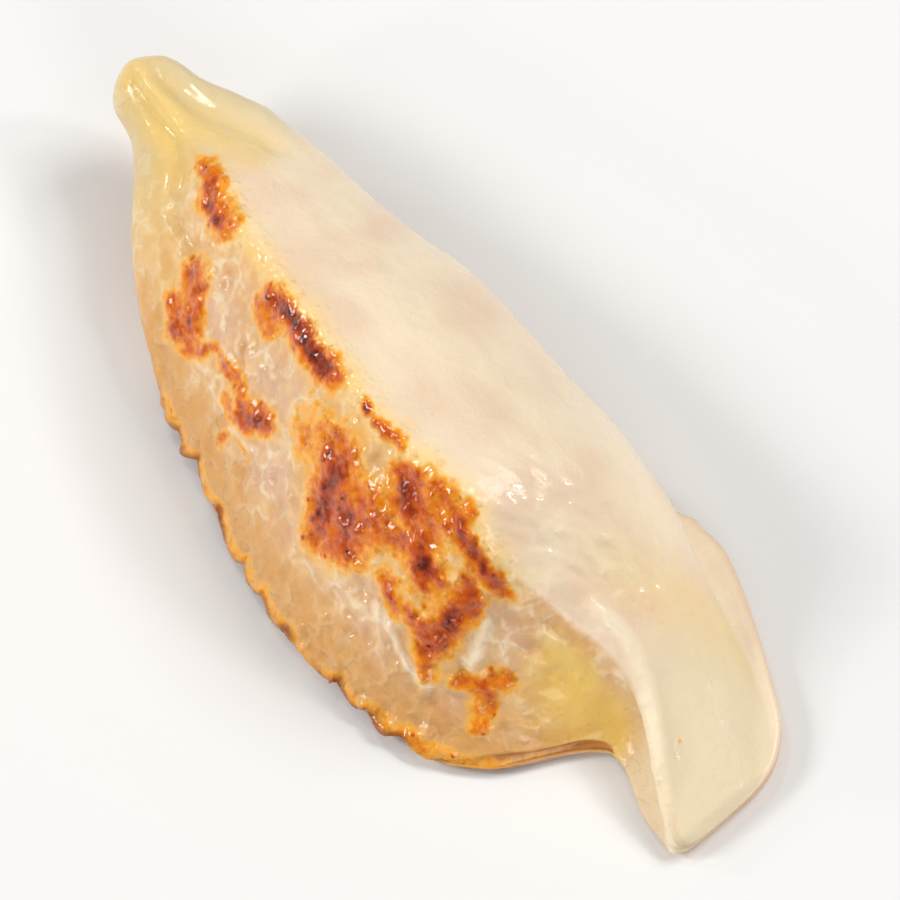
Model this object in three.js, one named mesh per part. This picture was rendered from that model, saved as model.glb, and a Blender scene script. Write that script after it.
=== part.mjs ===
// One pan-fried gyoza, lying on its pleated side. Millimetres, +Z up.
//
// The dumpling is one closed skin, lofted through upright rings that stand across its length.
// X runs along the dumpling, from its pinched tip to the flat tail of its seam.
// The browned base faces -Y and leans back, the smooth wall slopes down towards +Y,
// the sealed rim lies along the +Y side and the pleated wall is underneath.
import * as THREE from "three";
import { LoftGeometry } from "three/addons/geometries/LoftGeometry.js";

const { clamp, euclideanModulo, lerp, smoothstep } = THREE.MathUtils;

// Driving dimensions
const length = 85.2; // from the tip to the end of the tail
const ringCount = 98; // rings along the length
const pointsAround = 48; // points in each ring
const closeRings = 6; // rings at each end that stand closer together
const foldReach = 1.1; // how far a fold's guide points stand from it: less is a sharper fold

// The ends are round: the last stretch of thickness and of width closes along a curve.
const tipRound = 2.8;
const tailRound = 1.1;
const tailCorner = 2.4; // how far back the corners of the flat tail are rounded
const tailSquareness = 4; // 2 is an oval end, more is squarer
const tailSkew = 0.25; // the tail's end slants: its rim side is shorter than its fold side

// Pleats: folds of the underside that run from the rim to the base edge
const pleatPitch = 4.6; // spacing of the pleats along the base edge
const pleatWander = 0.22; // how uneven that spacing is, as a share of a pleat
const pleatStart = 24; // where the first and last pleats are
const pleatEnd = 67;
const pleatFan = 0.78; // how much closer together the pleats are at the rim
const pleatDepth = 0.6; // how far a pleat's hem stands off the base edge
const pleatGroove = 1.8; // depth of the grooves between pleats, underneath
const pleatFlat = 0.35; // how much of each pleat is pressed flat on the plate, from 0 to 1
const pleatHem = 0.62; // where in a pleat its hem is: the rest of it is the steep side
const pleatReach = 2.4; // how far up from the plate the grooves go
const hemReach = 5; // how far up the base the hems show
const rimWave = 0.5; // how far a pleat's hem stands out at the rim's edge

// A smooth curve through [place, value] knots, with slopes taken from the neighbouring knots.
function curve(...knots) {
  const slope = (i) => {
    const before = knots[Math.max(i - 1, 0)];
    const after = knots[Math.min(i + 1, knots.length - 1)];
    return (after[1] - before[1]) / (after[0] - before[0]);
  };
  return (place) => {
    const i = Math.max(knots.findLastIndex(([x]) => x < place), 0);
    const [[x0, y0], [x1, y1]] = [knots[i], knots[i + 1]];
    const t = clamp((place - x0) / (x1 - x0), 0, 1);
    const straight = y0 + (y1 - y0) * t * t * (3 - 2 * t);
    return straight + (x1 - x0) * t * (1 - t) * (slope(i) * (1 - t) - slope(i + 1) * t);
  };
}

// Profiles along the length: "Out" is along +Y and "Up" is the height above the plate.
// The base edge is the lower fold of the browned base.
const baseEdgeOut = curve([0, 12.3], [6, 11.8], [14, 7.1], [20, 4.3], [34, 1.3], [47, 0], [60, 1.6], [66, 4.2],
  [69.8, 8.7], [72, 15.6], [74, 18.2], [80, 17.3], [85.8, 17.8]);
const baseEdgeUp = curve([0, 8], [10, 7.6], [20, 4.2], [30, 1], [62, 0.9], [85.8, 0.7]);
// The ridge is the fold between the browned base and the smooth wall.
const ridgeOut = curve([0, 14.6], [9, 14.9], [16, 14.4], [24, 13.2], [44, 12.4], [50, 12.7],
  [56, 14.4], [62, 15.2], [71, 20.9], [80, 19.8], [85.8, 18]);
const ridgeUp = curve([0, 12.4], [9, 12.8], [17, 15.4], [26, 17.6], [36, 19.8], [48, 20.8],
  [56, 20.8], [60, 19], [66, 12.6], [73, 7.2], [80, 4.4], [85.8, 2.2]);
// The belly is the outermost line of the smooth wall.
const bellyOut = curve([0, 16.8], [5, 19], [12, 23.4], [24, 27], [34, 30.2], [46, 32],
  [60, 33.5], [70, 32], [78, 30.4], [85.8, 27]);
const bellyUp = curve([0, 11.8], [12, 11], [30, 10], [56, 8.6], [68, 5], [76, 2.8], [85.8, 2]);
// The rim's outer edge
const rimOut = curve([0, 17.6], [8, 22], [24, 28.2], [36, 31.6], [50, 33.6], [57, 34.8], [61, 36.1],
  [66, 35.9], [77, 33.3], [82, 31.6], [85.8, 28]);
const rimUp = curve([0, 10], [12, 6], [26, 2.6], [50, 2], [66, 1.9], [85.8, 1.2]);
const rimThickness = curve([0, 3], [12, 2.4], [40, 2.2], [85.8, 1.8]);
// The seam is where the smooth wall meets the rim, this far in from the rim's edge.
const seamIn = curve([0, 0.4], [12, 2], [30, 3.6], [52, 4], [66, 3], [76, 1.6], [85.8, 0.9]);
// The underside rests on the plate, except near the lifted tip.
const undersideUp = curve([0, 6.4], [8, 4.4], [18, 0.8], [26, 0], [85.8, 0]);
const floorUp = (place) => Math.max(undersideUp(place), 0);
// How far the base stands out of the straight line between its two folds: it is hollow near the tail.
const baseBulge = curve([0, 0.4], [14, 0.5], [30, 0.8], [56, 0.7], [66, -0.6], [73, -1.6],
  [80, -0.4], [85.8, 0]);

// How far a place has come through its pleat, from 0 at one crease to 1 at the next, and how
// strong the pleats are there. They fan out: they stand closer together at the rim.
function pleatAt(place, towardsRim) {
  const middle = (pleatStart + pleatEnd) / 2;
  const along = middle + (place - middle) / lerp(1, pleatFan, towardsRim);
  const wander = pleatWander * Math.sin((2 * Math.PI * along) / (3.3 * pleatPitch));
  const phase = euclideanModulo((along - pleatStart) / pleatPitch + wander, 1);
  const first = smoothstep(along, pleatStart - pleatPitch, pleatStart + pleatPitch);
  const last = 1 - smoothstep(along, pleatEnd - pleatPitch, pleatEnd + pleatPitch);
  return { phase, strength: first * last };
}

// One pleat's saw-tooth, from 0 to 1: it rises slowly and falls back over its hem.
const sawTooth = (phase) => (phase < pleatHem ? phase / pleatHem : (1 - phase) / (1 - pleatHem));

const towards = (from, to, reach) => to.clone().sub(from).setLength(reach).add(from);

// The guide points of one ring, in the plane across the length, anticlockwise seen from the tail.
function guides(place) {
  const point = (out, up) => new THREE.Vector2(out, up);
  const baseEdge = point(baseEdgeOut(place), baseEdgeUp(place));
  const ridge = point(ridgeOut(place), ridgeUp(place));
  const belly = point(bellyOut(place), bellyUp(place));
  const thickness = rimThickness(place);
  const seam = point(rimOut(place) - seamIn(place), rimUp(place) + thickness / 2);

  // The base, from its lower fold up to the ridge
  const rise = ridge.clone().sub(baseEdge);
  const outward = point(-rise.y, rise.x).normalize().multiplyScalar(baseBulge(place));
  const onBase = (share) => baseEdge.clone().lerp(ridge, share).add(outward);

  // The smooth wall follows a quarter of an oval from the ridge out to the belly.
  const onWall = (degrees) => {
    const angle = THREE.MathUtils.degToRad(degrees);
    const out = lerp(ridge.x, belly.x, Math.sin(angle));
    return point(out, lerp(belly.y, ridge.y, Math.cos(angle) ** 1.25));
  };

  // The rim, from the seam out to its edge and back, and the underside, back to the base edge
  const onRim = (share, lift) =>
    point(lerp(seam.x, rimOut(place), share), Math.max(rimUp(place) + lift * thickness, 0));
  const onUnderside = (share) => point(lerp(seam.x, baseEdge.x, share), floorUp(place));

  return [
    baseEdge,
    towards(baseEdge, onUnderside(0.8), foldReach),
    onUnderside(0.88),
    onUnderside(0.62),
    onUnderside(0.34),
    onUnderside(0.06),
    onRim(0.7, -0.5),
    onRim(1.05, -0.3),
    onRim(1.05, 0.3),
    onRim(0.7, 0.5),
    seam,
    belly.clone().lerp(seam, 0.35),
    onWall(80),
    onWall(55),
    onWall(28),
    towards(ridge, onWall(20), foldReach),
    ridge,
    towards(ridge, onBase(0.7), foldReach),
    onBase(0.67),
    onBase(0.33),
    towards(baseEdge, onBase(0.3), foldReach),
  ];
}

// A point of the closed uniform cubic B-spline of the guide points.
function onSpline(points, turn) {
  const at = turn * points.length;
  const first = Math.floor(at);
  const t = at - first;
  const weights = [(1 - t) ** 3, 3 * t ** 3 - 6 * t ** 2 + 4, 3 * t * (1 + t - t * t) + 1, t ** 3];
  return weights.reduce(
    (sum, weight, k) => sum.addScaledVector(points[(first + k) % points.length], weight / 6),
    new THREE.Vector2(),
  );
}

// What is left of a size at some distance from an end that closes over the given reach.
function closing(distance, reach, squareness) {
  const share = clamp(distance / reach, 0, 1);
  return (1 - (1 - share) ** squareness) ** (1 / squareness);
}

// Moves a point of the smooth skin onto the pleats. Grooves go up into the underside, and the
// hems stand out along the base edge and the rim's edge.
function pleat(point, place) {
  const [edge, rim] = [baseEdgeOut(place), rimOut(place)];
  const towardsRim = clamp((point.x - edge) / (rim - edge), 0, 1);
  const { phase, strength } = pleatAt(place, towardsRim);
  const saw = sawTooth(phase);
  const low = 1 - smoothstep(point.y - floorUp(place), 0, pleatReach);
  const groove = pleatGroove * Math.max(0, 1 - saw - pleatFlat);
  const fromEdge = Math.hypot(point.x - edge, point.y - baseEdgeUp(place));
  const baseHem = pleatDepth * (1 - smoothstep(fromEdge, 0, hemReach));
  const rimHem = rimWave * smoothstep(point.x, rim - 2, rim);
  point.y += strength * groove * low;
  point.x += strength * (rimHem - baseHem) * (saw - 0.5);
  return point;
}

function ring(place) {
  const points = guides(place);
  const loop = Array.from({ length: pointsAround }, (_, k) =>
    pleat(onSpline(points, k / pointsAround), place));
  const middle = loop.reduce((sum, p) => sum.add(p), new THREE.Vector2()).divideScalar(pointsAround);
  const tip = closing(place, tipRound, 2);
  const thickness = tip * closing(length - place, tailRound, 2);
  const width = tip * closing(length - place, tailCorner, tailSquareness);
  const slant = tailSkew * smoothstep(place, 0.72 * length, length);
  return loop.map((p) => {
    const out = middle.x + (p.x - middle.x) * width;
    const up = middle.y + (p.y - middle.y) * thickness;
    return new THREE.Vector3(place - slant * (out - middle.x), out, up);
  });
}

// Where a ring stands: evenly along the length, and closer together near both ends.
function ringPlace(k) {
  const step = length / (ringCount - 1 - closeRings);
  const fromTip = (n) => (n < closeRings ? (n * n) / (2 * closeRings) : n - closeRings / 2);
  const last = ringCount - 1;
  return k < last / 2 ? step * fromTip(k) : length - step * fromTip(last - k);
}

function makeGyoza() {
  const rings = Array.from({ length: ringCount }, (_, k) => ring(ringPlace(k)));
  const skin = new LoftGeometry(rings);
  skin.computeBoundingBox();
  const { min, max } = skin.boundingBox;
  const dough = new THREE.MeshStandardMaterial({ color: 0xe9d8b8, roughness: 0.35, metalness: 0 });
  const gyoza = new THREE.Mesh(skin, dough);
  gyoza.name = "gyoza";
  gyoza.position.set(-(min.x + max.x) / 2, -(min.y + max.y) / 2, -min.z);
  return gyoza;
}

const part = new THREE.Group();
part.add(makeGyoza());

export default part;
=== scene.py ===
# One pan-fried gyoza, lying on its pleated side on a pale table.
# The skin is one numpy grid: upright rings along the dumpling, each ring a closed spline.
import math

import bpy
import numpy as np
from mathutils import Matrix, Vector


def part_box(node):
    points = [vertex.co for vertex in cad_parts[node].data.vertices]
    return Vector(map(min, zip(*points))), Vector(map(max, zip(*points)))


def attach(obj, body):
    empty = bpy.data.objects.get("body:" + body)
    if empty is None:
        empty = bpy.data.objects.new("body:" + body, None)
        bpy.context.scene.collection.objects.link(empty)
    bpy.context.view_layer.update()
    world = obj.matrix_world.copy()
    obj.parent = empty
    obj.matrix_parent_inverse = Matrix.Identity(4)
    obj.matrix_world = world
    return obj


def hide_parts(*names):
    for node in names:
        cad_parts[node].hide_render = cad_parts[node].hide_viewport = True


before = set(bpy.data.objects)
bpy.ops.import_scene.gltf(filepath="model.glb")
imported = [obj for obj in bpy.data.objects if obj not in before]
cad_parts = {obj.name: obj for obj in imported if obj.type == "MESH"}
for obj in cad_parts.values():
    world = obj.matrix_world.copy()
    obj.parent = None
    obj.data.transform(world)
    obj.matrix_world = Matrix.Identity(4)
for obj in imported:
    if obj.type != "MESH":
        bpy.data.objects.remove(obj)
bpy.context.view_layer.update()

nodeLow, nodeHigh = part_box("gyoza")
mm = 0.001  # one millimetre in metres

# small helpers on whole arrays

def blend(low, high, share):
    # low at share 0, high at share 1, and a straight line between them
    return low + (high - low) * share


def smooth(value, start, end):
    # 0 before start, 1 after end, and 3t^2 - 2t^3 between them
    t = np.clip((value - start) / (end - start), 0, 1)
    return t * t * (3 - 2 * t)


def curve(knots, place):
    # A smooth line through (place, value) knots: a cubic between each two, whose slope at a knot
    # is the rise over the run between its neighbours
    x, y = np.array(knots, float).T
    before = np.maximum(np.arange(len(x)) - 1, 0)
    after = np.minimum(np.arange(len(x)) + 1, len(x) - 1)
    slope = (y[after] - y[before]) / (x[after] - x[before])
    i = np.clip(np.searchsorted(x, place) - 1, 0, len(x) - 2)
    span = x[i + 1] - x[i]
    t = np.clip((place - x[i]) / span, 0, 1)
    straight = blend(y[i], y[i + 1], t * t * (3 - 2 * t))
    return straight + span * t * (1 - t) * (slope[i] * (1 - t) - slope[i + 1] * t)


def lattice(seed):
    # A block of random numbers from -1 to 1, which the noises below repeat in every direction
    return np.random.default_rng(seed).uniform(-1, 1, (48, 48, 48))


def noise(points, size, seed):
    # Random numbers on a lattice of that spacing in mm, blended between its corners by 3t^2 - 2t^3
    table = lattice(seed)
    at = points / size
    cell = np.floor(at).astype(int)
    t = at - cell
    t = t * t * (3 - 2 * t)
    total = 0
    for corner in np.ndindex(2, 2, 2):
        index = (cell + corner) % len(table)
        weight = np.prod(np.where(corner, t, 1 - t), axis=-1)
        total = total + weight * table[index[..., 0], index[..., 1], index[..., 2]]
    return total


def layered(points, size, seed, layers=4):
    # Several noises on top of each other, each half the size and half the height of the last
    return sum(noise(points, size / 2 ** k, seed + k) / 2 ** k for k in range(layers)) / 1.6


def cells(points, size, seed):
    # Distance to the nearest of the points scattered one to each cube of that size,
    # as a share of the size
    tables = [lattice(seed + k) for k in range(3)]
    at = points / size
    cell = np.floor(at).astype(int)
    nearest = np.full(points.shape[:-1], 9.0)
    for step in np.ndindex(3, 3, 3):
        there = cell + np.array(step) - 1
        index = there % len(tables[0])
        jitter = np.stack([t[index[..., 0], index[..., 1], index[..., 2]] for t in tables], axis=-1)
        gap = np.linalg.norm(there + 0.5 + 0.45 * jitter - at, axis=-1)
        nearest = np.minimum(nearest, gap)
    return nearest


# camera, table and light

view = {
    "azimuth": 59.5,  # degrees, 0 looks along +Y
    "elevation": 58.0,
    "distance": 2.092,
    "lens": 1000.0,
    "target": (2.94 * mm, 1.14 * mm, 8.25 * mm),
}


def makeCamera():
    # The camera stands back from its target by the distance, turned by azimuth and raised by elevation
    turn, tilt = math.radians(view["azimuth"]), math.radians(view["elevation"])
    back = Vector((math.cos(tilt) * math.sin(turn), -math.cos(tilt) * math.cos(turn), math.sin(tilt)))
    data = bpy.data.cameras.new("camera")
    data.lens = view["lens"]
    data.sensor_width = 36
    data.clip_start, data.clip_end = 0.01, 20
    camera = bpy.data.objects.new("camera", data)
    camera.location = Vector(view["target"]) + back * view["distance"]
    camera.rotation_euler = back.to_track_quat("Z", "Y").to_euler()
    bpy.context.scene.collection.objects.link(camera)
    bpy.context.scene.camera = camera


studio = {
    "world": (0.97, 0.98, 1.0),
    "worldStrength": 0.28,
    # name: where it stands in metres, its width and depth in metres, watts, colour
    "lamps": {
        "window": ((0.02, 0.55, 0.70), (0.40, 0.32), 3.2, (1.0, 0.985, 0.96)),
        "front": ((-0.30, -0.62, 0.50), (0.26, 0.22), 2.9, (1.0, 0.985, 0.965)),
        "glint": ((0.32, 0.52, 0.60), (0.10, 0.10), 1.0, (1.0, 0.98, 0.95)),
        "fill": ((0.72, -0.14, 0.42), (0.36, 0.30), 1.4, (1.0, 0.985, 0.965)),
        "sparkUp": ((-0.42, -0.04, 0.74), (0.07, 0.07), 0.5, (1.0, 0.98, 0.95)),
        "sparkLow": ((-0.10, -0.78, 0.34), (0.08, 0.08), 0.7, (1.0, 0.98, 0.95)),
        "sparkSide": ((-0.60, -0.48, 0.36), (0.08, 0.08), 0.7, (1.0, 0.98, 0.95)),
    },
}


def makeStudio():
    # An even pale sky, and rectangular lamps that all face the origin
    world = bpy.data.worlds.new("studio")
    bpy.context.scene.world = world
    world.use_nodes = True
    background = world.node_tree.nodes["Background"]
    background.inputs["Color"].default_value = (*studio["world"], 1)
    background.inputs["Strength"].default_value = studio["worldStrength"]
    for name, (place, (width, depth), watts, colour) in studio["lamps"].items():
        data = bpy.data.lights.new(name, "AREA")
        data.shape = "RECTANGLE"
        data.size, data.size_y = width, depth
        data.energy = watts
        data.color = colour
        lamp = bpy.data.objects.new(name, data)
        lamp.location = place
        lamp.rotation_euler = Vector(place).to_track_quat("Z", "Y").to_euler()
        bpy.context.scene.collection.objects.link(lamp)
    bpy.context.scene.view_settings.view_transform = "Standard"


# shader nodes written as expressions

class Wire:
    # One output socket of a node; sums, differences and products add Math nodes behind it
    def __init__(self, nodes, socket):
        self.nodes, self.socket = nodes, socket

    def maths(self, operation, other, swapped=False):
        values = [other, self] if swapped else [self, other]
        return self.nodes.add("ShaderNodeMath", {"operation": operation}, values)

    def __add__(self, other):
        return self.maths("ADD", other)

    def __sub__(self, other):
        return self.maths("SUBTRACT", other)

    def __mul__(self, other):
        return self.maths("MULTIPLY", other)

    def __rsub__(self, other):
        return self.maths("SUBTRACT", other, swapped=True)

    __radd__, __rmul__ = __add__, __mul__

    def clamped(self):
        return self.maths("MINIMUM", 1.0).maths("MAXIMUM", 0.0)

    def above(self, start, end):
        # 0 below start, 1 above end, eased between them
        values = {"Value": self, "From Min": start, "From Max": end}
        return self.nodes.add("ShaderNodeMapRange", {"interpolation_type": "SMOOTHSTEP"}, values)


class Nodes:
    # Adds nodes to one material
    def __init__(self, material):
        self.tree = material.node_tree
        self.shader = next(n for n in self.tree.nodes if n.type == "BSDF_PRINCIPLED")
        self.coordinates = self.tree.nodes.new("ShaderNodeTexCoord").outputs["Object"]

    def add(self, kind, settings=None, values=None, output=0):
        # Any node: its settings first, then what goes into its sockets, by name or in order
        node = self.tree.nodes.new(kind)
        for name, value in (settings or {}).items():
            setattr(node, name, value)
        pairs = values.items() if isinstance(values, dict) else enumerate(values or [])
        for name, value in pairs:
            self.feed(node.inputs[name], value)
        return Wire(self, node.outputs[output])

    def feed(self, socket, value):
        if value is None:
            return
        if isinstance(value, Wire):
            self.tree.links.new(value.socket, socket)
        else:
            socket.default_value = value

    def painted(self, name):
        # A value stored on the mesh points
        return self.add("ShaderNodeAttribute", {"attribute_name": name}, output="Fac")

    def grain(self, size, detail):
        # Noise whose lumps are that many mm across, from 0 to 1, with that many finer layers
        place = Wire(self, self.coordinates)
        values = {"Vector": place, "Scale": 1 / (size * mm), "Detail": detail, "Roughness": 0.55}
        return self.add("ShaderNodeTexNoise", {}, values)

    def spots(self, size, feature="F1", bent=False):
        # Distances in a pattern of cells that many mm across, whose lines may be bent by noise
        place = Wire(self, self.coordinates)
        scale = 1 / (size * mm)
        if bent:
            values = {"Vector": place, "Scale": scale, "Detail": 1.0}
            bend = self.add("ShaderNodeTexNoise", {}, values, output="Color")
            reach = (0.7 * size * mm,) * 3
            place = self.add("ShaderNodeVectorMath", {"operation": "MULTIPLY_ADD"}, [bend, reach, place])
        return self.add("ShaderNodeTexVoronoi", {"feature": feature}, {"Vector": place, "Scale": scale})

    def mixed(self, share, first, second):
        # The first colour where share is 0, the second where it is 1
        node = self.tree.nodes.new("ShaderNodeMix")
        node.data_type = "RGBA"
        for index, value in (0, share), (6, first), (7, second):
            self.feed(node.inputs[index], value if isinstance(value, (Wire, float)) else (*value, 1))
        return Wire(self, node.outputs[2])

    def ramp(self, value, stops):
        # A colour for each value, read off a row of (position, colour) stops
        node = self.tree.nodes.new("ShaderNodeValToRGB")
        elements = node.color_ramp.elements
        while len(elements) < len(stops):
            elements.new(0.5)
        for element, (position, colour) in zip(elements, stops):
            element.position = position
            element.color = (*colour, 1)
        self.feed(node.inputs[0], value)
        return Wire(self, node.outputs[0])


def colour(red, green, blue):
    # From the 0-255 values of a colour picker to the linear ones that shaders use
    return tuple(((c / 255 + 0.055) / 1.055) ** 2.4 for c in (red, green, blue))


# the dumpling's skin

gyoza = {
    # the grid
    "rings": 396, "around": 240, "closeRings": 14,
    "baseCrowding": 1.5,  # how much closer the grid is on the base and the smooth wall than underneath
    # millimetres from here on; the profiles are (place along the dumpling, value)
    "length": 85.2, "foldReach": 1.1,
    "tipRound": 2.8, "tailRound": 1.1, "tailCorner": 2.4, "tailSquareness": 4, "tailSkew": 0.25,
    "baseEdgeOut": [(0, 12.3), (6, 11.8), (14, 7.1), (20, 4.7), (27, 3.0), (34, 1.8), (47, 0.6),
                    (60, 2.0), (66, 4.2), (69.8, 8.7), (72, 15.6), (74, 18.2), (80, 17.3), (85.8, 17.8)],
    "baseEdgeUp": [(0, 8), (10, 7.6), (20, 4.2), (30, 1), (62, 0.9), (85.8, 0.7)],
    "ridgeOut": [(0, 14.6), (9, 14.9), (16, 14.4), (24, 13.2), (44, 12.4), (50, 12.7), (56, 14.4),
                 (62, 15.2), (71, 20.9), (80, 19.8), (85.8, 18)],
    "ridgeUp": [(0, 12.4), (9, 12.8), (17, 15.4), (26, 17.6), (36, 19.8), (48, 20.8), (56, 20.8),
                (60, 19), (66, 12.6), (73, 7.2), (80, 4.4), (85.8, 2.2)],
    "bellyOut": [(0, 16.8), (5, 19), (12, 23.4), (24, 27), (34, 30.2), (46, 32), (60, 33.5),
                 (70, 32), (78, 30.4), (85.8, 27)],
    "bellyUp": [(0, 11.8), (12, 11), (30, 10), (56, 8.6), (68, 5), (76, 2.8), (85.8, 2)],
    "rimOut": [(0, 17.6), (8, 22), (24, 28.2), (36, 31.6), (50, 33.6), (57, 34.8), (61, 36.1), (66, 35.9),
               (77, 33.3), (82, 31.6), (85.8, 28)],
    "rimUp": [(0, 10), (12, 6), (26, 2.6), (50, 2), (66, 1.9), (85.8, 1.2)],
    "rimThickness": [(0, 3), (12, 2.4), (40, 2.2), (85.8, 1.8)],
    "seamIn": [(0, 0.4), (12, 2), (30, 3.6), (52, 4), (66, 3), (76, 1.6), (85.8, 0.9)],
    "floorUp": [(0, 6.4), (8, 4.4), (18, 0.8), (26, 0), (85.8, 0)],
    "stripWidth": [(0, -1), (65.5, -0.6), (67.5, 0.6), (69.8, 2.1), (71.5, 1.8), (73, 1.1),
                   (74.5, -0.6), (90, -1)],
    "baseBulge": [(0, 0.4), (14, 0.5), (30, 0.8), (56, 0.7), (66, -0.6), (73, -1.6), (80, -0.4),
                  (85.8, 0)],
}

pleats = {
    "pitch": 4.6, "wander": 0.22, "first": 24, "last": 67, "fan": 0.78, "hem": 0.62,
    "depth": 0.6, "groove": 1.8, "flat": 0.35, "reach": 2.4, "hemReach": 5, "rimWave": 0.5,
    "wanderPitches": 3.3,  # pleats to one wander of their spacing
    "unevenSize": 6.5,  # mm between deep hems and shallow ones
    "hemMean": 0.62, "hemVaries": 0.6, "edgeVaries": 0.45,
}


def profile(name, place):
    # One of the profiles above, read at those places along the dumpling
    return curve(gyoza[name], place)


def guides(place):
    # The 21 points that pull each ring into shape, as [guide, out or up, ring], starting at the base's
    # lower fold: underside, rim, seam, belly, smooth wall, ridge, and back down the base
    fold = np.stack([profile("baseEdgeOut", place), profile("baseEdgeUp", place)])
    ridge = np.stack([profile("ridgeOut", place), profile("ridgeUp", place)])
    belly = np.stack([profile("bellyOut", place), profile("bellyUp", place)])
    thick, rimOut, rimUp = (profile(name, place) for name in ("rimThickness", "rimOut", "rimUp"))
    seam = np.stack([rimOut - profile("seamIn", place), rimUp + thick / 2])
    floor = np.maximum(profile("floorUp", place), 0)
    rise = ridge - fold
    outward = np.stack([-rise[1], rise[0]]) / np.hypot(*rise) * profile("baseBulge", place)

    def onBase(share):
        return blend(fold, ridge, share) + outward

    def onWall(degrees):  # a quarter of an oval from the ridge out to the belly
        angle = math.radians(degrees)
        up = blend(belly[1], ridge[1], math.cos(angle) ** 1.25)
        return np.stack([blend(ridge[0], belly[0], math.sin(angle)), up])

    def onRim(share, lift):
        return np.stack([blend(seam[0], rimOut, share), np.maximum(rimUp + lift * thick, 0)])

    def onUnderside(share):
        return np.stack([blend(seam[0], fold[0], share), floor])

    def towards(start, end):
        return start + (end - start) / np.hypot(*(end - start)) * gyoza["foldReach"]

    return np.stack([
        fold, towards(fold, onUnderside(0.8)), onUnderside(0.88), onUnderside(0.62), onUnderside(0.34),
        onUnderside(0.06), onRim(0.7, -0.5), onRim(1.05, -0.3), onRim(1.05, 0.3), onRim(0.7, 0.5), seam,
        blend(belly, seam, 0.35), onWall(80), onWall(55), onWall(28), towards(ridge, onWall(20)), ridge,
        towards(ridge, onBase(0.7)), onBase(0.67), onBase(0.33), towards(fold, onBase(0.3))])


def spline(points, turn):
    # The closed uniform cubic B-spline of the guide points, as [turn, out or up, ring]
    at = turn * len(points)
    first = np.floor(at).astype(int)
    t = (at - first)[:, None, None]
    weights = [(1 - t) ** 3, 3 * t ** 3 - 6 * t ** 2 + 4, 3 * t * (1 + t - t * t) + 1, t ** 3]
    return sum(w / 6 * points[(first + k) % len(points)] for k, w in enumerate(weights))


foldTurn, seamTurn, ridgeTurn = 20 / 21, 9 / 21, 15 / 21  # where the spline passes those guides


def ringPlaces():
    # Rings stand evenly along the length, and closer together near both ends
    count, close = gyoza["rings"], gyoza["closeRings"]
    step = gyoza["length"] / (count - 1 - close)
    k = np.arange(count)
    fromEnd = np.minimum(k, count - 1 - k)
    gone = step * np.where(fromEnd < close, fromEnd ** 2 / (2 * close), fromEnd - close / 2)
    return np.where(k < count / 2, gone, gyoza["length"] - gone)


def turns():
    # Turns spread evenly round the middle ring by length, with the base and the wall counted longer
    fine = np.linspace(0, 1, 4001)
    middle = spline(guides(np.array([0.55 * gyoza["length"]])), fine)[..., 0]
    step = np.hypot(*np.diff(middle, axis=0).T)
    shown = (fine[1:] > seamTurn) & (fine[1:] < foldTurn + 0.02)
    travelled = np.concatenate([[0], np.cumsum(step * np.where(shown, gyoza["baseCrowding"], 1))])
    return np.interp(np.arange(gyoza["around"]) / gyoza["around"] * travelled[-1], travelled, fine)


def closing(distance, reach, squareness):
    # What is left of a size at some distance from an end: a superellipse's quarter
    share = np.clip(distance / reach, 0, 1)
    return (1 - (1 - share) ** squareness) ** (1 / squareness)


def pleated(place, out, up):
    # Moves the smooth skin onto its pleats: a saw-tooth along the underside, whose grooves go up and
    # whose hems stand out along the base's lower fold and the rim's edge
    edge, rim = profile("baseEdgeOut", place), profile("rimOut", place)
    towardsRim = np.clip((out - edge) / (rim - edge), 0, 1)
    middle = (pleats["first"] + pleats["last"]) / 2
    along = middle + (place - middle) / blend(1, pleats["fan"], towardsRim)
    wander = pleats["wander"] * np.sin(2 * np.pi * along / (pleats["wanderPitches"] * pleats["pitch"]))
    phase = ((along - pleats["first"]) / pleats["pitch"] + wander) % 1
    saw = np.where(phase < pleats["hem"], phase / pleats["hem"], (1 - phase) / (1 - pleats["hem"]))
    first, last, pitch = pleats["first"], pleats["last"], pleats["pitch"]
    strength = smooth(along, first - pitch, first + pitch)
    strength = strength * (1 - smooth(along, last - pitch, last + pitch))
    low = 1 - smooth(up - np.maximum(profile("floorUp", place), 0), 0, pleats["reach"])
    groove = pleats["groove"] * np.maximum(0, 1 - saw - pleats["flat"])
    fromEdge = np.hypot(out - edge, up - profile("baseEdgeUp", place))
    uneven = noise(np.stack([along, 0 * along, 0 * along], axis=-1), pleats["unevenSize"], 141)
    nearEdge = 1 - smooth(fromEdge, 0, pleats["hemReach"])
    baseHem = pleats["depth"] * (pleats["hemMean"] + pleats["hemVaries"] * uneven) * nearEdge
    out = out + pleats["edgeVaries"] * strength * uneven * nearEdge
    rimHem = pleats["rimWave"] * smooth(out, rim - 2, rim)
    sideways = strength * (rimHem - baseHem) * (saw - 0.5)
    return out + sideways, up + strength * groove * low, strength * (1 - saw)


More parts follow.
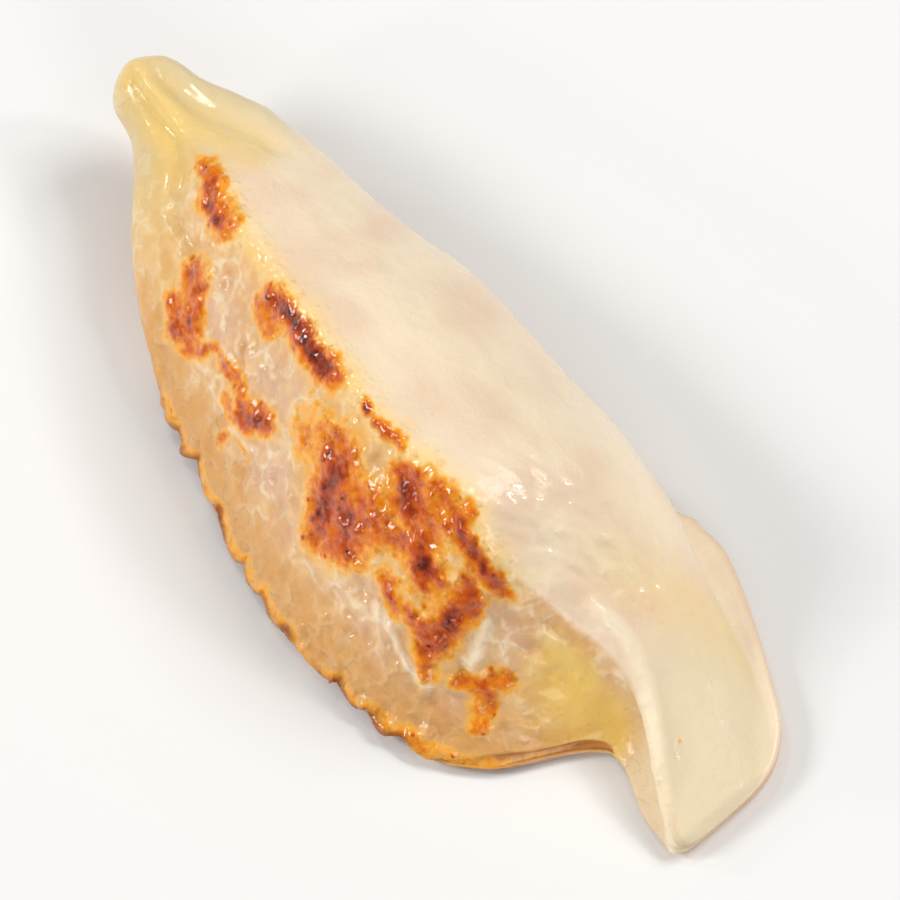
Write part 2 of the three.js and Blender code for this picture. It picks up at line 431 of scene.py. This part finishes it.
def smoothSkin():
    # The skin without its fine relief: points in mm as [turn, ring, xyz], with where each one is
    place, turn = ringPlaces(), turns()
    ring = spline(guides(place), turn)
    out, up, crease = pleated(place[None, :], ring[:, 0], ring[:, 1])
    length = gyoza["length"]
    middleOut, middleUp = out.mean(axis=0), up.mean(axis=0)
    tip = closing(place, gyoza["tipRound"], 2)
    thickness = tip * closing(length - place, gyoza["tailRound"], 2)
    width = tip * closing(length - place, gyoza["tailCorner"], gyoza["tailSquareness"])
    out = middleOut + (out - middleOut) * width
    up = middleUp + (up - middleUp) * thickness
    slant = gyoza["tailSkew"] * smooth(place, 0.72 * length, length)
    points = np.stack([place - slant * (out - middleOut), out, up], axis=-1)
    low, high = points.min(axis=(0, 1)), points.max(axis=(0, 1))
    middle = (np.array(nodeLow) + np.array(nodeHigh)) / 2 / mm
    points += np.where([True, True, False], middle - (low + high) / 2, 0)
    return points, place, turn, crease, thickness


def fromFolds(points, turn):
    # Distances in mm along each ring: from the ridge, negative down the base and positive down the
    # wall; and from the base's lower fold, positive up the base and negative underneath
    step = np.linalg.norm(np.roll(points, -1, axis=0) - points, axis=-1)
    travelled = np.concatenate([np.zeros((1, points.shape[1])), np.cumsum(step, axis=0)])
    total, travelled = travelled[-1], travelled[:-1]
    ridge, fold = (travelled[np.searchsorted(turn, at)] for at in (ridgeTurn, foldTurn))
    fromFold = fold - travelled
    return ridge - travelled, np.where(fromFold > 0.75 * total, fromFold - total, fromFold)


def outwardNormals(points):
    # The cross product of the steps around the ring and along the dumpling, made one long
    around = np.roll(points, -1, axis=0) - np.roll(points, 1, axis=0)
    along = np.gradient(points, axis=1)
    normal = np.cross(around, along)
    return normal / np.maximum(np.linalg.norm(normal, axis=-1, keepdims=True), 1e-9)


# Strokes painted on the skin or pressed into it. Each is a half-width in mm, a strength, and the
# points of a line: (place along the dumpling, distance from the ridge), negative down the base.
strokes = {
    "toast": [
        (1.26, 0.50, (14.5, -0.2), (16.5, -0.6)), (1.53, 0.62, (17.5, -1.6), (21.3, -1.3)),
        (1.62, 0.62, (21.7, -6.4), (23.5, -8.4), (24.9, -11.0)),
        (1.17, 0.52, (21.5, -9.8), (23.5, -12.0)),
        (0.63, 0.45, (25.9, -12.4), (28.5, -10.0)),
        (0.90, 0.58, (29.9, -10.2), (32.1, -9.8), (34.5, -11.2)),
        (0.72, 0.40, (31.9, -12.0), (34.1, -12.8)), (1.26, 0.72, (35.5, -11.8), (37.3, -10.1)),
        (0.63, 0.45, (33.7, -16.0), (34.5, -14.6)), (0.54, 0.40, (36.7, -14.1)),
        (0.45, 0.40, (37.9, -14.3)),
        (1.30, 0.75, (30.6, -1.5), (34.9, -1.5), (39.0, -1.7), (41.0, -1.3)),
        (1.08, 0.50, (29.7, -3.4), (32.2, -3.9)),
        (0.72, 0.65, (45.3, -0.4)), (0.72, 0.60, (47.1, -0.3), (49.9, -0.1)),
        (2.70, 0.34, (42.3, -6.7), (45.2, -4.9)),
        (2.25, 0.72, (46.5, -6.3), (47.3, -9.1), (48.3, -12.3)),
        (1.98, 0.66, (50.1, -8.5), (51.7, -11.5)), (1.53, 0.55, (50.1, -6.1), (52.3, -6.5)),
        (1.26, 0.72, (51.7, -2.5), (53.9, -4.5)),
        (1.62, 0.52, (53.3, -1.5), (54.9, -3.9), (56.1, -5.3)),
        (1.53, 0.58, (53.1, -8.5), (55.3, -7.7)), (1.26, 0.48, (55.7, -1.3), (57.7, -2.9)),
        (0.99, 0.78, (57.9, -1.9), (60.3, -2.1), (62.6, -1.6)), (1.98, 0.85, (57.9, -7.0)),
        (1.17, 0.64, (56.3, -11.5), (57.1, -12.5)), (1.17, 0.62, (59.1, -11.1), (60.2, -11.0)),
        (1.17, 0.78, (61.6, -4.2), (61.9, -7.6), (61.6, -9.6)),
        (1.08, 0.58, (61.6, -10.4), (62.0, -12.2)),
        (0.81, 0.50, (64.4, -10.6), (65.7, -9.7), (66.5, -7.6)),
        (0.72, 0.46, (66.0, -9.8), (67.3, -12.6)),
    ],
    "burn": [
        (0.50, 0.90, (17.8, -2.1), (18.5, -1.8)), (0.59, 0.90, (19.5, -2.0), (20.7, -1.5)),
        (0.36, 0.50, (16.6, -0.2)),
        (0.41, 0.80, (23.1, -12.0)), (0.36, 0.80, (24.7, -10.7), (24.3, -9.9)),
        (0.36, 0.80, (25.2, -12.8)),
        (0.32, 0.60, (21.2, -10.5)), (0.32, 0.50, (21.9, -7.2)), (0.27, 0.50, (28.3, -9.8)),
        (0.27, 0.50, (29.9, -11.2)),
        (0.66, 0.75, (31.2, -1.1), (34.9, -1.4), (36.9, -1.7), (39.2, -1.7)),
        (0.27, 0.50, (40.9, -1.6)),
        (0.54, 0.45, (36.1, -11.5), (37.0, -10.6)), (0.41, 0.75, (45.3, -0.4)),
        (0.90, 0.60, (46.8, -6.9), (47.2, -9.3), (47.6, -10.9)),
        (0.63, 0.50, (50.1, -9.1), (50.6, -10.5)),
        (0.54, 0.45, (48.6, -12.3)), (0.54, 0.40, (51.7, -11.7)),
        (0.63, 0.60, (52.3, -3.1), (53.7, -4.5)),
        (0.45, 0.80, (54.7, -0.8)), (0.54, 1.00, (57.6, 0.0), (58.4, -0.1)), (0.41, 0.70, (58.7, -2.0)),
        (0.41, 0.70, (60.3, -2.2)), (0.36, 0.60, (61.4, -2.0)), (1.03, 0.75, (57.9, -7.1)),
        (0.45, 0.60, (58.8, -8.1)),
        (0.63, 0.65, (61.8, -7.0), (61.9, -8.2)), (0.27, 0.50, (58.3, -12.3)),
        (0.27, 0.60, (59.7, -9.5)),
        (0.25, 0.60, (78.0, 2.4)),
    ],
    # where the filling shows through
    "thin": [
        (2.2, 0.7, (25.2, -6.3), (28.2, -8.1)), (2.6, 0.7, (33.7, -6.5), (37.7, -6.3)),
        (1.8, 0.5, (37.7, -10.2), (39.2, -11.7)), (2.4, 0.8, (39.9, -14.3), (41.7, -12.1)),
        (2.0, 0.5, (44.2, -14.2), (45.7, -15.7)),
        (2.3, 0.85, (54.3, -14.7), (57.7, -15.7), (60.6, -16.2)),
        (1.8, 0.85, (63.9, -3.8), (65.3, -6.6)), (2.0, 0.7, (65.2, -12.6), (65.2, -15.4)),
        (1.8, 0.4, (50.7, -16.2)),
    ],
    # thick pale folds of skin, which stand out; the long fold by the flap also carries a painted
    # highlight
    "pale": [
        (0.45, 0.60, (56.1, -14.1), (59.3, -14.1), (61.0, -14.2), (63.2, -13.0)),
        (0.38, 0.68, (63.6, -4.8), (64.1, -7.3), (64.4, -9.2)),
        (0.45, 0.52, (58.5, -10.9), (59.5, -9.7)),
        (0.45, 0.52, (60.6, -5.2), (61.1, -3.9)), (0.52, 0.45, (46.9, -4.4), (47.5, -4.9)),
        (0.38, 0.38, (28.7, -9.3), (31.7, -12.7), (34.7, -13.9), (38.1, -13.1)),
        # pale skin and painted highlight along the fold by the flap
        (0.83, 0.60, (67.6, 2.6), (72.8, 1.0), (78.4, -0.2), (83.8, -1.4)),
    ],
    "yolk": [
        (2.8, 0.62, (2.2, -0.4), (6.7, 0.3), (10.4, 1.8), (14.6, 4.2)),
        (2.2, 0.50, (7.7, -1.3), (12.2, -2.3)),
        (3.0, 0.26, (12.7, -5.7), (19.7, -9.1)), (2.6, 0.95, (69.6, -4.2), (71.4, -4.9)),
        (1.8, 0.70, (68.2, -2.6), (72.8, -6.2)), (2.4, 0.45, (69.0, -6.8), (71.6, -8.0)),
        (5.0, 0.35, (67.9, 9.0), (72.4, 14.0)),
    ],
    # valleys: half-width, depth in mm, and the line
    "valleys": [
        (1.0, 0.55, (3.0, -0.9), (6.4, -1.0), (9.9, -0.9), (12.6, -2.1), (15.3, -5.0), (20.2, -5.6)),
        (1.3, 0.50, (4.0, 1.6), (8.4, 2.8), (11.9, 4.4), (14.9, 6.0)),
        (1.4, 0.35, (16.0, 6.6), (16.6, 6.9)),
        (2.4, 0.18, (69.8, -4.4), (71.4, -5.0)), (0.6, 0.35, (64.6, -4.6), (65.1, -7.0), (65.4, -8.8)),
    ],
    # folds that stand out
    "folds": [
        (1.5, 0.35, (1.6, 3.2), (6.4, 5.2), (10.4, 7.6)),
        (1.2, 0.40, (67.6, 2.6), (72.8, 1.0), (83.4, -1.2)),
        (1.0, 0.30, (3.4, 0.4), (7.4, 0.8)),
    ],
}


def fromLine(path, along, across):
    # Distance in mm to a line through the points of the path
    nearest = np.full_like(across, 1e9)
    for (x, y), (nextX, nextY) in zip(path, path[1:] or path):
        dx, dy = nextX - x, nextY - y
        share = np.clip(((along - x) * dx + (across - y) * dy) / max(dx * dx + dy * dy, 1e-9), 0, 1)
        nearest = np.minimum(nearest, np.hypot(along - x - share * dx, across - y - share * dy))
    return nearest


def painted(name, along, across, spread=1.0):
    # Strokes that fade from their line outwards; they add up like 1 - (1 - a)(1 - b)
    left = np.ones_like(across)
    for halfWidth, strength, *path in strokes[name]:
        share = fromLine(path, along, across) / (halfWidth * spread)
        left = left * (1 - strength * (1 - smooth(share, 0.1, 1.55)))
    return 1 - left


def pressed(name, along, across):
    # The sum of strokes with a bell-shaped section, in mm
    return sum(height * np.exp(-(fromLine(path, along, across) / halfWidth) ** 2)
               for halfWidth, height, *path in strokes[name])


relief = {
    "lumps": 0.40,  # soft lumps of the filling behind the skin
    "waves": 0.26,  # long shallow waves along the smooth wall
    "stretch": 0.50,  # short wrinkles where the wall bends down to the flap
    "crinkle": 0.44,  # the fried base's crinkled skin
    "blisters": 0.34,
    "ridgeBeads": 0.22,
    "browned": 0.22,
    "beads": 0.17,  # beads of oil on the browned skin
    "paleFolds": 0.30,
    "stripDrop": 0.45, "stripWaves": 0.12,  # the strip under the base's edge stands back and is wavy
    "stretchAlong": (0.744, 0.630, -0.200),
}


# mm along the dumpling over which each thing comes in, or goes out
spans = {
    "goldStarts": (12, 18), "goldEnds": (60, 66), "pleatsStart": (20, 30), "pleatsEnd": (69, 73),
    "friedStarts": (14, 26), "friedEnds": (66, 72), "hemStarts": (12, 24), "stripStarts": (65.5, 67),
    "flapStarts": (69, 76), "nubEnds": (7, 20),
}


def skinFields(points, place, turn, crease):
    # Where each point is on the dumpling, and what is painted there
    along = np.broadcast_to(place, points.shape[:2])
    across, fromEdge = fromFolds(points, turn)
    turnGrid = np.broadcast_to(turn[:, None], points.shape[:2])
    onBase = smooth(turnGrid, ridgeTurn - 0.004, ridgeTurn + 0.012)
    onBase = onBase * (1 - smooth(turnGrid, foldTurn - 0.004, foldTurn + 0.016))
    onWall = smooth(turnGrid, seamTurn, seamTurn + 0.05)
    onWall = onWall * (1 - smooth(turnGrid, ridgeTurn - 0.02, ridgeTurn))
    # the underside, whose colour is painted shade
    under = 1 - smooth(turnGrid, seamTurn - 0.12, seamTurn - 0.05)
    under = under + smooth(turnGrid, foldTurn + 0.004, foldTurn + 0.03)
    shift = 0.75 * layered(points, 1.9, 71, 3), 0.75 * layered(points, 1.9, 81, 3)
    upper = 1 - smooth(turnGrid, foldTurn, foldTurn + 0.02)
    f = {"along": along, "across": across, "onBase": onBase, "onWall": onWall}
    # the strip of underside that shows under the base's edge, next to the flap, coloured with the
    # underside's painted shade
    strip = 1 - smooth(fromEdge - profile("stripWidth", along) - 0.3 * shift[0], -0.2, 0.15)
    f["strip"] = upper * onBase * strip * smooth(along, *spans["stripStarts"])
    f["under"] = np.clip(0.65 * under + f["strip"], 0, 1)
    visibleSide = upper * smooth(turnGrid, seamTurn - 0.02, seamTurn + 0.02)
    # most strokes are bent by noise, thick folds less, and burnt specks not at all
    for name, bent in {"toast": 1, "burn": 0, "thin": 1, "pale": 0.5, "yolk": 1}.items():
        f[name] = visibleSide * painted(name, along + bent * shift[0], across + bent * shift[1])
    halo = visibleSide * painted("toast", along + shift[0], across + shift[1], 1.8)
    f["toast"] = 1 - (1 - f["toast"]) * (1 - 0.2 * halo)
    frontOfFlap = smooth(along, *spans["goldStarts"]) * (1 - smooth(along, *spans["goldEnds"]))
    f["gold"] = frontOfFlap * np.exp(-((across + 0.2 + shift[0]) / 1.5) ** 2)
    pleatedEdge = smooth(along, *spans["pleatsStart"]) * (1 - smooth(along, *spans["pleatsEnd"]))
    ragged = 0.2 + 0.8 * smooth(noise(points, 3.4, 91) + 0.4 * crease, -0.45, 0.3)
    line = (1 - smooth(fromEdge - 0.6 * shift[0], 0.25, 1.1)) * smooth(fromEdge, -2.6, -1.6)
    f["edge"] = pleatedEdge * ragged * line * (1 - f["strip"])
    border = pleatedEdge * onBase * (1 - smooth(fromEdge + shift[1], 0.8, 2.4))
    f["toast"] = np.maximum(f["toast"], 0.28 * border)
    nearEdge = 1 - smooth(fromEdge + 2 * shift[0], 2.5, 9)
    f["hem"] = smooth(along, *spans["hemStarts"]) * onBase * nearEdge
    f["flap"] = visibleSide * smooth(along + 0.25 * across, *spans["flapStarts"])
    f["nub"] = 1 - smooth(along, *spans["nubEnds"])
    return f


def reliefHeight(points, f):
    # How far the skin stands out, in mm: soft lumps everywhere, long waves and stretch wrinkles on the
    # wall, crinkles, blisters and folds on the fried base, beads on the ridge, and pressed strokes.
    # Also how deep each point lies among the crinkles, from 0 on top to 1: painted shade in their hollows
    along, across = f["along"], f["across"]
    fried = f["onBase"] * (1 - f["strip"]) * smooth(along, *spans["friedStarts"])
    fried = fried * (1 - smooth(along, *spans["friedEnds"]))
    broad = relief["lumps"] * (0.35 + 0.65 * fried) * layered(points, 8, 11, 2) * (1 - 0.8 * f["under"])
    broad += relief["waves"] * f["onWall"] * layered(points * [0.45, 1, 1], 3.4, 21, 3)
    direction = np.array(relief["stretchAlong"]) / np.linalg.norm(relief["stretchAlong"])
    lengthwise = (points @ direction)[..., None] * direction
    bend = np.exp(-((along - 61.5) / 6) ** 2 - ((across - 6) / 6) ** 2)
    broad += relief["stretch"] * bend * layered(points - 0.72 * lengthwise, 1.0, 101, 2)
    ridged = 1 - np.abs(layered(points, 2.4, 31, 3)) * 2.2
    rough = 0.45 + 0.55 * np.maximum(smooth(layered(points, 9, 41, 2), -0.3, 0.3), f["thin"])
    fine = relief["crinkle"] * fried * (ridged - 0.6) * rough
    bubbles = smooth(cells(points, 1.6, 51), 0.55, 0.10)
    bubbles = bubbles * smooth(noise(points, 5, 61) + f["toast"] * 0.5, 0.05, 0.45)
    fine += relief["blisters"] * fried * bubbles
    fine += relief["ridgeBeads"] * f["gold"] * smooth(cells(points, 1.1, 111), 0.6, 0.1)
    fine += relief["browned"] * f["toast"] * (0.3 + noise(points, 1.2, 121))
    wet = np.maximum(smooth(f["toast"], 0.1, 0.5), f["pale"])
    fine += relief["beads"] * wet * smooth(cells(points, 1.15, 151), 0.55, 0.1)
    fine += relief["paleFolds"] * f["pale"]
    # painted shade: how deep the crinkles' hollows lie, which darkens their colour
    depth = f["onBase"] * smooth(-fine, -0.12, 0.28)
    stripWaves = relief["stripWaves"] * noise(points * [2.5, 1, 1], 2.0, 131)
    fine -= f["strip"] * (relief["stripDrop"] - stripWaves)
    strokesAway = smooth(gyoza["length"] - along, 0.5, 6)  # none at the tail's thin end
    drawn = pressed("folds", along, across) - pressed("valleys", along, across)
    return broad + fine + drawn * strokesAway, depth


def makeMesh(name, points, fields):
    # The grid's rings joined by quads, with one point at each end closed by a fan
    around, rings = points.shape[:2]
    rows = points[:, 1:-1].transpose(1, 0, 2)
    ends = np.stack([points[:, 0].mean(axis=0), points[:, -1].mean(axis=0)])
    vertices = np.concatenate([rows.reshape(-1, 3), ends]) * mm
    k, j = np.meshgrid(np.arange(rings - 3), np.arange(around), indexing="ij")
    n = (j + 1) % around
    here, ahead = k * around, (k + 1) * around
    quads = np.stack([here + j, here + n, ahead + n, ahead + j], axis=-1)
    tip, tail = len(vertices) - 2, len(vertices) - 1
    j = np.arange(around)
    n = (j + 1) % around
    last = (rings - 3) * around
    fans = [(tip, b, a) for a, b in zip(j.tolist(), n.tolist())]
    fans += [(tail, last + a, last + b) for a, b in zip(j.tolist(), n.tolist())]
    mesh = bpy.data.meshes.new(name)
    mesh.from_pydata(vertices.tolist(), [], quads.reshape(-1, 4).tolist() + fans)
    for label, values in fields.items():
        inner = values[:, 1:-1].T.reshape(-1)
        whole = np.concatenate([inner, [values[:, 0].mean(), values[:, -1].mean()]]).astype(np.float32)
        mesh.attributes.new(label, "FLOAT", "POINT").data.foreach_set("value", whole)
    mesh.polygons.foreach_set("use_smooth", np.ones(len(mesh.polygons), bool))
    mesh.update()
    return mesh


dough = {
    # colours of the skin
    "cream": colour(243, 224, 195),
    "pinkCream": colour(236, 210, 182),
    "tan": colour(222, 172, 116),
    "veins": colour(240, 204, 150),
    # painted shade in the crinkles' hollows
    "crinkleShade": colour(206, 150, 96),
    "thin": colour(220, 180, 150),
    "pale": colour(252, 238, 210),
    "hem": colour(214, 158, 88),
    "gold": colour(253, 214, 140),
    "yolk": colour(244, 205, 104),
    "flap": colour(230, 214, 181),
    "nub": colour(212, 196, 148),
    # painted shade: the brown of the underside in shadow, and of the strip under the base's edge
    "under": colour(204, 134, 66),
    "line": colour(140, 62, 14),
    "toast": [
        (0.00, colour(246, 204, 128)), (0.16, colour(244, 178, 66)), (0.34, colour(232, 136, 12)),
        (0.54, colour(206, 90, 0)), (0.74, colour(164, 54, 0)), (0.90, colour(120, 34, 0)),
        (1.00, colour(86, 20, 0)),
    ],
    # what is the same all over
    "uniform": {
        "Subsurface Weight": 0.35, "Subsurface Scale": 0.8 * mm, "Subsurface Radius": (1.0, 0.6, 0.35),
        "IOR": 1.28, "Coat Roughness": 0.08, "Coat IOR": 1.45, "Specular Tint": (1.0, 0.9, 0.76, 1.0),
    },
    # what the mesh stores for the material
    "painted": ("toast", "burn", "thin", "pale", "yolk", "onBase", "under", "edge", "gold", "hem", "flap",
                "nub", "depth"),
}


def makeDough():
    # Cream wall, tan fried base with pale veins, golden ridge and browned marks, painted shade in the
    # crinkles' hollows and on the underside, under a coat of oil
    material = bpy.data.materials.new("friedDough")
    material.use_nodes = True
    n = Nodes(material)
    at = {name: n.painted(name) for name in dough["painted"]}
    broad, middling, fine, dust = n.grain(7, 1), n.grain(1.8, 2), n.grain(0.7, 2), n.grain(0.28, 1)

    # what browning there is, broken up by noise of two sizes, with specks beside it
    toast = at["toast"]
    ragged = toast + toast * (1.1 - toast) * ((middling - 0.5) * 1.8 + (fine - 0.5) * 2.6)
    specks = n.spots(1.3).above(0.26, 0.08) * middling.above(0.52, 0.6) * at["onBase"]
    specks = specks * (0.18 + toast.above(0.02, 0.2))
    browned = (ragged * 0.78 + at["burn"] * (0.16 + fine * 0.40) + specks * 0.3).clamped()

    wall = n.mixed(broad.above(0.35, 0.7), dough["cream"], dough["pinkCream"])
    fried = n.mixed(middling.above(0.3, 0.72) * 0.8, dough["tan"], dough["veins"])
    fried = n.mixed((at["thin"] * 1.3).clamped() * middling.above(0.7, 0.35), fried, dough["thin"])
    veins = 1 - n.spots(2.3, "DISTANCE_TO_EDGE", bent=True).above(0.0, 0.20)
    veins = veins * middling.above(0.4, 0.6) * at["onBase"] * (1 - at["yolk"]).clamped()
    fried = n.mixed(veins * 0.5, fried, dough["pale"])
    fried = n.mixed(at["hem"] * 0.85, fried, dough["hem"])
    # painted shade: darker and warmer the deeper a point lies among the crinkles
    fried = n.mixed(at["depth"] * 0.3, fried, dough["crinkleShade"])
    skin = n.mixed(at["onBase"], wall, fried)
    skin = n.mixed(at["gold"] * 0.8, skin, dough["gold"])
    skin = n.mixed(at["flap"] * 0.8, skin, dough["flap"])
    skin = n.mixed(at["nub"] * 0.7, skin, dough["nub"])
    skin = n.mixed(at["yolk"] * (0.7 + 0.3 * middling), skin, dough["yolk"])
    skin = n.mixed(at["pale"], skin, dough["pale"])
    # painted shade on the underside and on the strip under the base's edge
    skin = n.mixed(at["under"] * 0.9, skin, dough["under"])
    skin = n.mixed(browned.above(0.02, 0.22), skin, n.ramp(browned, dough["toast"]))
    skin = n.mixed(at["edge"] * 0.9, skin, dough["line"])
    n.feed(n.shader.inputs["Base Color"], skin)

    # oil stands in beads, most of all on the browned skin and the ridge
    wet = at["toast"].above(0.05, 0.4).maths("MAXIMUM", at["gold"]) * 0.8 + at["onBase"] * 0.2
    wet = wet.maths("MAXIMUM", at["yolk"] * 0.25)
    puddles = middling.above(0.38, 0.54)
    beads = n.spots(0.85).above(0.42, 0.05) * wet
    height = veins * 0.7 + fine * 0.5 + dust * 0.12 + middling * 0.5 + beads * puddles * 1.2
    bump = n.add("ShaderNodeBump", {}, {"Strength": 0.8, "Distance": 0.22 * mm, "Height": height})
    n.feed(n.shader.inputs["Normal"], bump)
    rough = 0.34 - wet * puddles * 0.22 + (fine - 0.5) * 0.15
    rough = rough + at["under"] * 0.2 + at["flap"] * 0.16
    n.feed(n.shader.inputs["Roughness"], rough.clamped())
    coat = 0.40 + (middling - 0.5) * 1.4 + wet * 0.5 - at["flap"] * 0.5
    n.feed(n.shader.inputs["Coat Weight"], coat.clamped())

    for name, value in dough["uniform"].items():
        n.feed(n.shader.inputs[name], value)
    return material


def makeGyoza():
    # The smooth skin, moved outwards by its relief, never below the table
    points, place, turn, crease, thickness = smoothSkin()
    f = skinFields(points, place, turn, crease)
    height, f["depth"] = reliefHeight(points, f)
    height = height * np.minimum(thickness, 1)
    lifted = points + outwardNormals(points) * height[..., None]
    lifted[..., 2] = np.maximum(lifted[..., 2], 0)
    mesh = makeMesh("gyoza_skin", lifted, {name: f[name] for name in dough["painted"]})
    piece = bpy.data.objects.new("gyoza_skin", mesh)
    bpy.context.scene.collection.objects.link(piece)
    mesh.materials.append(makeDough())
    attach(piece, "root")
    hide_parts("gyoza")
    print("gyoza:", len(mesh.vertices), "points,", len(mesh.polygons), "faces")


table = {"size": 6.0, "roughness": 0.7, "colour": colour(236, 236, 235)}


def makeTable():
    # A flat square at height 0
    half = table["size"] / 2
    corners = [(-half, -half, 0), (half, -half, 0), (half, half, 0), (-half, half, 0)]
    mesh = bpy.data.meshes.new("table")
    mesh.from_pydata(corners, [], [(0, 1, 2, 3)])
    floor = bpy.data.objects.new("table", mesh)
    bpy.context.scene.collection.objects.link(floor)
    material = bpy.data.materials.new("paleTable")
    material.use_nodes = True
    shader = material.node_tree.nodes["Principled BSDF"]
    shader.inputs["Base Color"].default_value = (*table["colour"], 1)
    shader.inputs["Roughness"].default_value = table["roughness"]
    mesh.materials.append(material)


makeCamera()
makeStudio()
makeTable()
print("stage ready")
makeGyoza()
